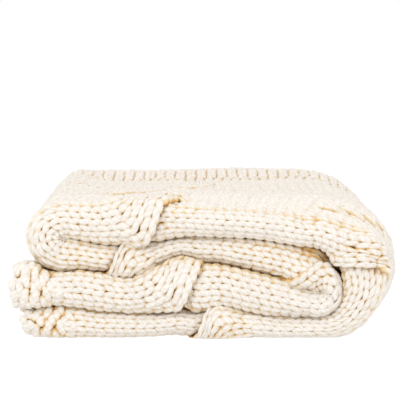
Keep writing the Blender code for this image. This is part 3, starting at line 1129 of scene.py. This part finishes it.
# The floor glows on the throw, and has a plain glow for the camera.
FLOOR_GLOW = 0.47
PLAIN_GLOW = 1.05
WHITE = (1.0, 1.0, 1.0, 1.0)


def node(tree, kind, x, y, inputs=None, **settings):
    """A new node. Each of its inputs is given a value, or another node's socket to be linked to."""
    made = tree.nodes.new(kind)
    made.location = (x, y)
    for name, value in settings.items():
        setattr(made, name, value)
    for name, value in (inputs or {}).items():
        if isinstance(value, bpy.types.NodeSocket):
            tree.links.new(value, made.inputs[name])
        else:
            made.inputs[name].default_value = value
    return made


def ranged(tree, x, y, value, taken=(0.0, 1.0), given=(0.0, 1.0), **settings):
    """A socket's value, taken from one range to another."""
    limits = zip(("From Min", "From Max", "To Min", "To Max"), (*taken, *given))
    inputs = {"Value": value, **dict(limits)}
    return node(tree, "ShaderNodeMapRange", x, y, inputs, **settings).outputs["Result"]


def blended(tree, x, y, factor, first, second, kind):
    """Two sockets' values, mixed."""
    inputs = {"Factor": factor, "A": first, "B": second}
    return node(tree, "ShaderNodeMix", x, y, inputs, data_type=kind).outputs["Result"]


def fibre_group():
    """Wool: its colour, with painted shade that turns it warmer and darker where it lies deep, and the
    height of its plies.
    """
    found = bpy.data.node_groups.get("wool_fibres_and_shade")
    if found:
        return found
    tree = bpy.data.node_groups.new("wool_fibres_and_shade", "ShaderNodeTree")
    for name, way, kind in (
        ("Crest Colour", "INPUT", "NodeSocketColor"),
        ("Side Shade Colour", "INPUT", "NodeSocketColor"),
        ("Deep Shade Colour", "INPUT", "NodeSocketColor"),
        ("Depth", "INPUT", "NodeSocketFloat"),
        ("Tone", "INPUT", "NodeSocketFloat"),
        ("Yarn Place", "INPUT", "NodeSocketVector"),
        ("Colour", "OUTPUT", "NodeSocketColor"),
        ("Height", "OUTPUT", "NodeSocketFloat"),
        ("Roughness", "OUTPUT", "NodeSocketFloat"),
    ):
        tree.interface.new_socket(name, in_out=way, socket_type=kind)
    entry = node(tree, "NodeGroupInput", -1100, 0).outputs

    slanted = node(tree, "ShaderNodeMapping", -850, -250, {
        "Vector": entry["Yarn Place"],
        "Rotation": (0, 0, FIBRE_SLANT),
        "Scale": FIBRE_STRETCH,
    })
    fibres = node(tree, "ShaderNodeTexNoise", -620, -250, {
        "Vector": slanted.outputs["Vector"],
        "Scale": 3.2,
        "Detail": 4.0,
        "Roughness": 0.62,
    }).outputs["Fac"]
    twist = node(tree, "ShaderNodeMapping", -850, -560, {
        "Vector": entry["Yarn Place"],
        "Scale": PLY_STRETCH,
    })
    plies = node(tree, "ShaderNodeTexWave", -620, -560, {
        "Vector": twist.outputs["Vector"],
        "Scale": 1.0,
        "Distortion": 1.5,
        "Detail": 1.0,
    }, bands_direction="DIAGONAL").outputs["Fac"]
    relief = blended(tree, -380, -560, PLY_SHARE, fibres, plies, "FLOAT")

    # Painted shade: the colour turns warmer and darker, to the side and then the deep colour, with
    # depth
    depth = entry["Depth"]
    at_side = ranged(tree, -620, 150, depth, SIDE_SHADE_DEPTHS, interpolation_type="SMOOTHSTEP")
    at_deep = ranged(tree, -620, 380, depth, DEEP_SHADE_DEPTHS, interpolation_type="SMOOTHSTEP")
    colours = entry["Crest Colour"], entry["Side Shade Colour"], entry["Deep Shade Colour"]
    sides = blended(tree, -380, 150, at_side, colours[0], colours[1], "RGBA")
    deep = blended(tree, -160, 150, at_deep, sides, colours[2], "RGBA")

    tones = ranged(tree, -380, -60, entry["Tone"], given=TONES)
    # The fibres darken where they lie low: partly their own tone, partly painted shade in their
    # grooves
    streak_tone_and_shade = ranged(tree, -380, -300, relief, STREAK_HEIGHTS, STREAK_TONE_AND_SHADE)
    shade = node(tree, "ShaderNodeMath", -160, -150, {0: tones, 1: streak_tone_and_shade}, operation="MULTIPLY")
    shaded = node(tree, "ShaderNodeVectorMath", 120, 60, {
        0: deep,
        "Scale": shade.outputs["Value"],
    }, operation="SCALE")
    node(tree, "NodeGroupOutput", 900, 0, {
        "Colour": shaded.outputs["Vector"],
        "Height": relief,
        "Roughness": ranged(tree, 120, -350, fibres, given=ROUGHNESS),
    })
    return tree


def empty_material(name):
    material = bpy.data.materials.new(name)
    material.use_nodes = True
    material.node_tree.nodes.clear()
    return material


def on_yarn(tree):
    """Where a yarn finish is: its painted shade, its stitch's tone and its place on the unrolled yarn.
    """
    painted_shade = node(tree, "ShaderNodeAttribute", -300, 100, attribute_name="painted_shade")
    tone = node(tree, "ShaderNodeAttribute", -300, -80, attribute_name="tone")
    place = node(tree, "ShaderNodeUVMap", -300, -260, uv_map="Yarn")
    return {
        "Depth": painted_shade.outputs["Fac"],
        "Tone": tone.outputs["Fac"],
        "Yarn Place": place.outputs["UV"],
    }


def on_ground(tree, depth=None):
    """Where a ground finish is. It reads its painted shade from the mesh unless one is given."""
    if depth is None:
        painted_shade = node(tree, "ShaderNodeAttribute", -300, 100, attribute_name="painted_shade")
        depth = painted_shade.outputs["Fac"]
    place = node(tree, "ShaderNodeTexCoord", -500, -260)
    scaled = node(tree, "ShaderNodeMapping", -300, -260, {
        "Vector": place.outputs["Object"],
        "Scale": (GROUND_REPEATS,) * 3,
    })
    return {"Depth": depth, "Tone": 0.5, "Yarn Place": scaled.outputs["Vector"]}


def wool_material(name, colours, sheen, relief, where, **given):
    """A wool finish in a crest colour and a side and a deep colour of painted shade. `where` makes the
    nodes that place it.
    """
    found = bpy.data.materials.get(name)
    if found:
        return found
    material = empty_material(name)
    tree = material.node_tree
    crest, side, deep = [(*colour, 1.0) for colour in colours]
    inputs = {"Crest Colour": crest, "Side Shade Colour": side, "Deep Shade Colour": deep}
    inputs.update(where(tree, **given))
    fibres = node(tree, "ShaderNodeGroup", 0, 0, inputs, node_tree=fibre_group())
    raised = node(tree, "ShaderNodeBump", 200, -300, {
        "Height": fibres.outputs["Height"],
        "Strength": 0.6,
        "Distance": relief,
    })
    shader = node(tree, "ShaderNodeBsdfPrincipled", 380, 0, {
        "Base Color": fibres.outputs["Colour"],
        "Roughness": fibres.outputs["Roughness"],
        "Normal": raised.outputs["Normal"],
        "Sheen Weight": sheen,
        "Sheen Tint": SHEEN_TINT,
        "Sheen Roughness": 0.6,
        "Specular IOR Level": 0.0,
    })
    node(tree, "ShaderNodeOutputMaterial", 700, 0, {"Surface": shader.outputs["BSDF"]})
    return material


def floor_material(colour):
    """A floor that lights the throw softly and looks plain to the camera."""
    material = empty_material("studio_floor")
    tree = material.node_tree
    rays = node(tree, "ShaderNodeLightPath", 0, 260)
    shader = node(tree, "ShaderNodeBsdfPrincipled", 0, -60, {
        "Base Color": (*colour, 1.0),
        "Roughness": 0.9,
        "Specular IOR Level": 0.1,
        "Emission Color": WHITE,
        "Emission Strength": FLOOR_GLOW,
    })
    plain = node(tree, "ShaderNodeEmission", 0, -480, {"Strength": PLAIN_GLOW})
    either = node(tree, "ShaderNodeMixShader", 280, 0, {
        "Fac": rays.outputs["Is Camera Ray"],
        1: shader.outputs["BSDF"],
        2: plain.outputs["Emission"],
    })
    node(tree, "ShaderNodeOutputMaterial", 500, 0, {"Surface": either.outputs["Shader"]})
    return material


# -------------------------------------------------------------------------------------------------
# Settings


class ThrowYarnSettings(bpy.types.PropertyGroup):
    """Sizes and colours of the throw's yarn."""

    thickness: bpy.props.FloatProperty(
        name="Yarn thickness",
        description="Thickness of the yarn where a stitch is fattest",
        default=8.45 * MM,
        min=3 * MM,
        max=14 * MM,
        unit="LENGTH",
    )
    crossing_rise: bpy.props.FloatProperty(
        name="Crossing height",
        description="How high a cable's front strand stands over its other strand",
        default=8 * MM,
        min=0.0,
        max=25 * MM,
        unit="LENGTH",
    )
    crest_colour: bpy.props.FloatVectorProperty(
        name="Crest colour",
        description="Colour of the yarn where it catches the light",
        default=(0.930, 0.880, 0.820),
        min=0.0,
        max=1.0,
        subtype="COLOR",
    )
    # Painted shade: the warmer, darker colour of the yarn's sides between stitches
    side_shade_colour: bpy.props.FloatVectorProperty(
        name="Side shade colour",
        description="Colour of the yarn's sides, between stitches",
        default=(0.88, 0.67, 0.37),
        min=0.0,
        max=1.0,
        subtype="COLOR",
    )
    # Painted shade: the colour of the wool deepest between the stitches
    deep_shade_colour: bpy.props.FloatVectorProperty(
        name="Deep shade colour",
        description="Colour of the wool deep between the stitches",
        default=(0.81, 0.46, 0.12),
        min=0.0,
        max=1.0,
        subtype="COLOR",
    )


class ThrowStudioSettings(bpy.types.PropertyGroup):
    """The camera and the light."""

    camera_distance: bpy.props.FloatProperty(
        name="Camera distance",
        description="From the camera to the throw's front",
        default=2.82,
        min=1.0,
        max=10.0,
        unit="LENGTH",
    )
    camera_height: bpy.props.FloatProperty(
        name="Camera height",
        description="Height of the camera over the floor",
        default=0.355,
        min=0.0,
        max=5.0,
        unit="LENGTH",
    )
    lens: bpy.props.FloatProperty(
        name="Lens",
        description="Focal length for a 36 mm wide sensor",
        default=229.5,
        min=20.0,
        max=400.0,
        unit="CAMERA",
    )
    light: bpy.props.FloatProperty(
        name="Light",
        description="Strength of the soft light from all round",
        default=1.0,
        min=0.0,
        max=5.0,
    )
    floor_colour: bpy.props.FloatVectorProperty(
        name="Floor colour",
        description="Colour of the floor",
        default=(0.5, 0.5, 0.5),
        min=0.0,
        max=1.0,
        subtype="COLOR",
    )


def wool_colours(settings):
    return settings.crest_colour, settings.side_shade_colour, settings.deep_shade_colour


def yarn_wool(settings):
    return wool_material("cream_wool_yarn", wool_colours(settings), SHEEN, YARN_RELIEF, on_yarn)


def ground_wools(settings):
    """The finish of the ground's face and the one of its reverse, both with painted shade."""
    colours = wool_colours(settings)
    # The ground's painted shade goes darker than the yarn's
    dark = (*colours[:2], GROUND_DEEP_SHADE)
    face = wool_material("cream_wool_ground", dark, 0.0, GROUND_RELIEF, on_ground)
    reverse = wool_material(
        "cream_wool_reverse", colours, SHEEN, REVERSE_RELIEF, on_ground, depth=REVERSE_SHADE
    )
    return face, reverse


# -------------------------------------------------------------------------------------------------
# Operators

# How far the top cables' strands rise, as a share of the front one's
TOP_RISE_SHARE = 0.4

# How far the purl sinks, and its wales: in the channels behind the front cable, and in the one past it
PURL_SINK = 0.5 * MM
CHANNELS_BEHIND = 3
PURL_WALES = [
    BORDER_WALES + number * CABLE_SPACING + beside
    for number in range(CHANNELS_BEHIND)
    for beside in range(CHANNEL_WALES)
]
FRONT_PURL_WALES = BORDER_WALES + CHANNELS_BEHIND * CABLE_SPACING + np.arange(CHANNEL_WALES)

# The end borders' ridges are looser, thicker and a little wavy on the front fold.
FRONT_END_WALES = 14
RIDGE_LOOSE = 2.4
RIDGE_THICKER = 1.15
RIDGE_MEANDER = 2.6 * MM
MEANDER_ROUND = 6.5 * MM
MEANDER_DRIFT = 14 * MM

# The turns round the edges are thicker too, and slant by a share of their ridge or wale.
SIDE_TURN_THICKER = 1.1
TURN_SLANT = 0.25


class ThrowOperator:
    """What every operator here shares."""

    bl_options = {"REGISTER", "UNDO"}


def knit_cables(settings, detail, rise_share, cables):
    """Knits cables, each given as a piece's name, the cable's number and its start and end."""
    stitch = knit_stitch(settings.thickness / 2, detail)
    rise = rise_share * settings.crossing_rise
    wool = yarn_wool(settings)
    for name, number, start, end in cables:
        cable(name, number, start, end, stitch, rise, wool)


class OBJECT_OT_throw_front_cable(ThrowOperator, bpy.types.Operator):
    """Knit the cable that runs along the front fold"""

    bl_idname = "object.throw_front_cable"
    bl_label = "Front Cable"

    def execute(self, context):
        halfway = FLAT_LENGTH / 2
        knit_cables(context.scene.throw_yarn, CLOSE, 1.0, (
            ("front_cable_first_half", 0, 0.0, halfway),
            ("front_cable_second_half", 0, halfway, FLAT_LENGTH),
        ))
        return {"FINISHED"}


class OBJECT_OT_throw_top_cables(ThrowOperator, bpy.types.Operator):
    """Knit the two cables that run behind the front one, over the top and round both turns"""

    bl_idname = "object.throw_top_cables"
    bl_label = "Top Cables"

    def execute(self, context):
        knit_cables(context.scene.throw_yarn, NEAR, TOP_RISE_SHARE, (
            ("second_cable", -1, *SHOWN_STRETCH),
            ("third_cable", -2, *SHOWN_STRETCH),
        ))
        return {"FINISHED"}


class OBJECT_OT_throw_under_cables(ThrowOperator, bpy.types.Operator):
    """Knit the same two cables where they lie on the floor"""

    bl_idname = "object.throw_under_cables"
    bl_label = "Underside Cables"

    def execute(self, context):
        knit_cables(context.scene.throw_yarn, HIDDEN, 1.0, (
            ("second_cable_underside", -1, 0.0, SHOWN_STRETCH[0]),
            ("third_cable_underside", -2, 0.0, SHOWN_STRETCH[0]),
        ))
        return {"FINISHED"}


class OBJECT_OT_throw_purl_channels(ThrowOperator, bpy.types.Operator):
    """Knit the sunken purl channels between the cables"""

    bl_idname = "object.throw_purl_channels"
    bl_label = "Purl Channels"

    def execute(self, context):
        settings = context.scene.throw_yarn
        stitch = purl_stitch(settings.thickness / 2, SUNKEN, ROW, crest=-PURL_SINK)
        wool = yarn_wool(settings)
        rows = ROW_PLACES[ROW_PLACES < SHOWN_STRETCH[1]]
        behind = places(rows, wale_middle(np.array(PURL_WALES)))
        knit("purl_channels", stitch, *behind, wool)
        front = places(ROW_PLACES, wale_middle(FRONT_PURL_WALES))
        knit("front_purl_channel", stitch, *front, wool)
        return {"FINISHED"}


class OBJECT_OT_throw_side_border(ThrowOperator, bpy.types.Operator):
    """Knit the ridged border along the side, on the top, the turns and the underside"""

    bl_idname = "object.throw_side_border"
    bl_label = "Side Border"

    def execute(self, context):
        settings = context.scene.throw_yarn
        stitch = purl_stitch(settings.thickness / 2, NEAR, SIDE_RIDGE)
        ridges = SIDE_PLACES[SIDE_PLACES < SHOWN_STRETCH[1]]
        border = places(ridges, wale_middle(np.arange(BORDER_WALES)))
        knit("side_border", stitch, *border, yarn_wool(settings))
        return {"FINISHED"}


class OBJECT_OT_throw_end_borders(ThrowOperator, bpy.types.Operator):
    """Knit the ridged borders at both ends"""

    bl_idname = "object.throw_end_borders"
    bl_label = "End Borders"

    def execute(self, context):
        settings = context.scene.throw_yarn
        radius = settings.thickness / 2
        wool = yarn_wool(settings)
        front = np.arange((WALES - FRONT_END_WALES) // 2, (WALES + FRONT_END_WALES) // 2)
        ridges = np.concatenate([END_PLACES, FLAT_LENGTH - END_PLACES])
        along, across = places(ridges, wale_middle(front))
        along += RIDGE_MEANDER * np.sin(across / MEANDER_ROUND + along / MEANDER_DRIFT)
        stitch = purl_stitch(radius * RIDGE_THICKER, CLOSE, END_RIDGE)
        knit("end_borders_front", stitch, along, across, wool, loose=RIDGE_LOOSE)

        # Behind, each end's outermost ridge is knitted, and the first end's others where they show.
        rest = np.setdiff1d(np.arange(WALES), front)
        outermost = np.array((END_PLACES[0], FLAT_LENGTH - END_PLACES[0]))
        whole = places(outermost, wale_middle(rest))
        outside = places(END_PLACES[1:], wale_middle(rest[rest < WALES // 2]))
        stitch = purl_stitch(radius, HIDDEN, END_RIDGE)
        knit("end_borders_rest", stitch, *np.concatenate([whole, outside], axis=1), wool)
        return {"FINISHED"}


class OBJECT_OT_throw_edges(ThrowOperator, bpy.types.Operator):
    """Turn the yarn round every edge of the throw"""

    bl_idname = "object.throw_edges"
    bl_label = "Edge Stitches"

    def execute(self, context):
        settings = context.scene.throw_yarn
        wool = yarn_wool(settings)
        radius = settings.thickness / 2 * SIDE_TURN_THICKER
        ridges = np.concatenate([END_PLACES, SIDE_PLACES, FLAT_LENGTH - END_PLACES[::-1]])
        for name, outwards, edge in (("far", -1, 0.0), ("near", 1, FLAT_WIDTH)):
            stitch = edge_stitch(outwards, radius, SIDE_TURN, TURN_SLANT * SIDE_RIDGE, False)
            knit(f"side_edge_{name}", stitch, *places(ridges, [edge]), wool)
        radius = settings.thickness / 2 * RIDGE_THICKER
        wales = wale_middle(np.arange(WALES))
        for name, outwards, edge in (("first", -1, 0.0), ("last", 1, FLAT_LENGTH)):
            stitch = edge_stitch(outwards, radius, END_TURN, TURN_SLANT * WALE, True)
            knit(f"end_edge_{name}", stitch, *places([edge], wales), wool)
        return {"FINISHED"}


class OBJECT_OT_throw_ground(ThrowOperator, bpy.types.Operator):
    bl_idname = "object.throw_ground"
    bl_label = "Ground Sheet"

    def execute(self, context):
        settings = context.scene.throw_yarn
        mesh = ground_mesh()
        for wool in ground_wools(settings):
            mesh.materials.append(wool)
        ground = add_piece("ground_shade_sheet", mesh)
        wall = ground.modifiers.new("Thickness", "SOLIDIFY")
        wall.thickness = GROUND_THICKNESS
        wall.offset = -1.0
        wall.material_offset = 1
        wall.material_offset_rim = 1
        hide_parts("throw")
        return {"FINISHED"}


# -------------------------------------------------------------------------------------------------
# The studio

FLOOR_SIZE = 12.0

# Soft lights, with their places and their power in watts
LIGHTS = {
    "key_light": {"place": (-1.4, -2.4, 1.7), "power": 15},
    "fill_light": {"place": (1.8, -2.2, 1.2), "power": 6},
}
LIGHT_SIZE = 1.8
LIT_PLACE = (0.0, 0.0, 0.08)

# The camera, with its sensor in millimetres and its tilt in degrees below level
SENSOR = 36.0
CAMERA_X = -7.5 * MM
CAMERA_DOWN = 4.02
CLIP = (0.05, 50.0)


def add_floor(settings):
    plane = bmesh.new()
    bmesh.ops.create_grid(plane, x_segments=1, y_segments=1, size=FLOOR_SIZE)
    mesh = bpy.data.meshes.new("floor")
    plane.to_mesh(mesh)
    plane.free()
    mesh.materials.append(floor_material(settings.floor_colour))
    floor = bpy.data.objects.new("floor", mesh)
    bpy.context.scene.collection.objects.link(floor)


def add_light(scene, name, place, power):
    data = bpy.data.lights.new(name, "AREA")
    data.shape = "DISK"
    data.size = LIGHT_SIZE
    data.energy = power
    lamp = bpy.data.objects.new(name, data)
    scene.collection.objects.link(lamp)
    lamp.location = place
    lamp.rotation_euler = (Vector(LIT_PLACE) - Vector(place)).to_track_quat("-Z", "Y").to_euler()


def add_lights(scene, settings):
    world = bpy.data.worlds.new("studio")
    world.use_nodes = True
    background = world.node_tree.nodes["Background"]
    background.inputs["Color"].default_value = WHITE
    background.inputs["Strength"].default_value = settings.light
    scene.world = world
    for name, light in LIGHTS.items():
        add_light(scene, name, **light)


def add_camera(scene, settings):
    front = CAD_BOX[0][1]
    data = bpy.data.cameras.new("camera")
    data.sensor_width = SENSOR
    data.lens = settings.lens
    data.clip_start, data.clip_end = CLIP
    camera = bpy.data.objects.new("camera", data)
    scene.collection.objects.link(camera)
    camera.location = (CAMERA_X, front - settings.camera_distance, settings.camera_height)
    camera.rotation_euler = (math.radians(90 - CAMERA_DOWN), 0, 0)
    scene.camera = camera


class OBJECT_OT_throw_studio(ThrowOperator, bpy.types.Operator):
    """Set up the floor, the soft light and the camera"""

    bl_idname = "object.throw_studio"
    bl_label = "Studio"

    def execute(self, context):
        settings = context.scene.throw_studio
        scene = context.scene
        scene.view_settings.view_transform = "Standard"
        scene.view_settings.look = "None"
        add_floor(settings)
        add_lights(scene, settings)
        add_camera(scene, settings)
        return {"FINISHED"}


# -------------------------------------------------------------------------------------------------
# Panel and registration


class VIEW3D_PT_throw(bpy.types.Panel):
    """Lists the throw's parts and settings"""

    bl_label = "Cable-knit Throw"
    bl_space_type = "VIEW_3D"
    bl_region_type = "UI"
    bl_category = "Throw"

    def draw(self, context):
        layout = self.layout
        for settings in (context.scene.throw_yarn, context.scene.throw_studio):
            for name in type(settings).__annotations__:
                layout.prop(settings, name)
        for operator in OPERATORS:
            layout.operator(operator.bl_idname)


OPERATORS = (
    OBJECT_OT_throw_front_cable,
    OBJECT_OT_throw_top_cables,
    OBJECT_OT_throw_under_cables,
    OBJECT_OT_throw_purl_channels,
    OBJECT_OT_throw_side_border,
    OBJECT_OT_throw_end_borders,
    OBJECT_OT_throw_edges,
    OBJECT_OT_throw_ground,
    OBJECT_OT_throw_studio,
)
CLASSES = (ThrowYarnSettings, ThrowStudioSettings, *OPERATORS, VIEW3D_PT_throw)


def register():
    for each in CLASSES:
        bpy.utils.register_class(each)
    bpy.types.Scene.throw_yarn = bpy.props.PointerProperty(type=ThrowYarnSettings)
    bpy.types.Scene.throw_studio = bpy.props.PointerProperty(type=ThrowStudioSettings)


def unregister():
    del bpy.types.Scene.throw_studio
    del bpy.types.Scene.throw_yarn
    for each in reversed(CLASSES):
        bpy.utils.unregister_class(each)


def main():
    register()
    bpy.ops.object.throw_front_cable()
    bpy.ops.object.throw_top_cables()
    bpy.ops.object.throw_under_cables()
    bpy.ops.object.throw_purl_channels()
    bpy.ops.object.throw_side_border()
    bpy.ops.object.throw_end_borders()
    bpy.ops.object.throw_edges()
    bpy.ops.object.throw_ground()
    bpy.ops.object.throw_studio()


if __name__ == "__main__":
    main()
